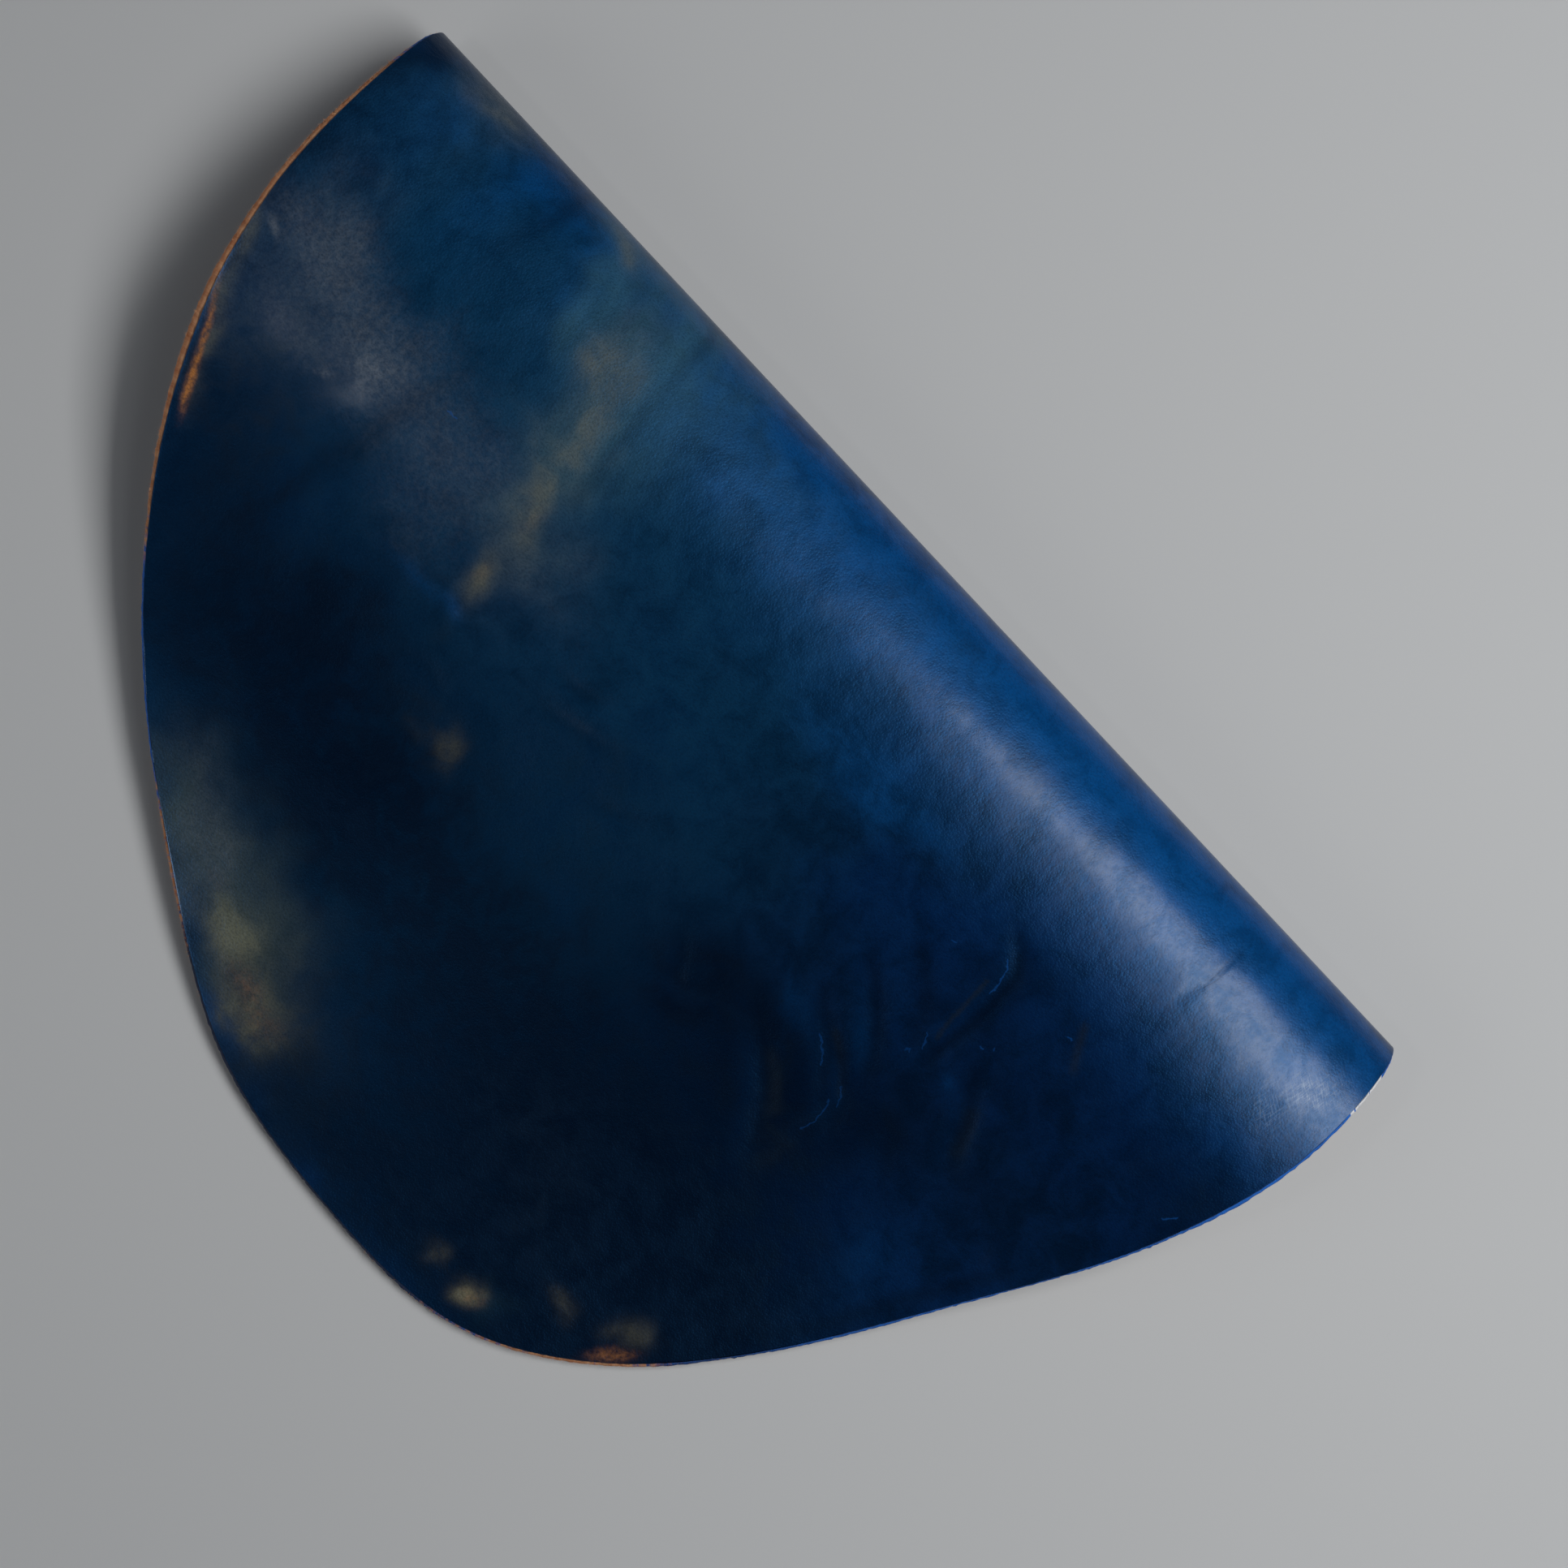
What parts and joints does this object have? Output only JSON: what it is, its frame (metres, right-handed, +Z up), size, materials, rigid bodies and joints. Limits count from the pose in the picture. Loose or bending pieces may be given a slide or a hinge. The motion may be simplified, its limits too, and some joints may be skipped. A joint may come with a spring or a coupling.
{
  "type": "folded shell cordovan leather",
  "caption": "Whole oval of blue-dyed shell cordovan leather, folded once along a soft rolled fold with the grain outside and lying flat.",
  "frame": {"origin": "on the resting surface, under the middle of the folded leather's bounding box", "axes": "+X along the fold, +Y from the free edges towards the fold, +Z up"},
  "size_m": [0.4642, 0.2972, 0.0476],
  "materials": {
    "leather": "glazed, marbled blue aniline dye on the grain side, tan suede flesh side and raw tan or dyed blue cut edge"
  },
  "bodies": {
    "root": {"shell_leather": "leather"}
  },
  "joints": []
}
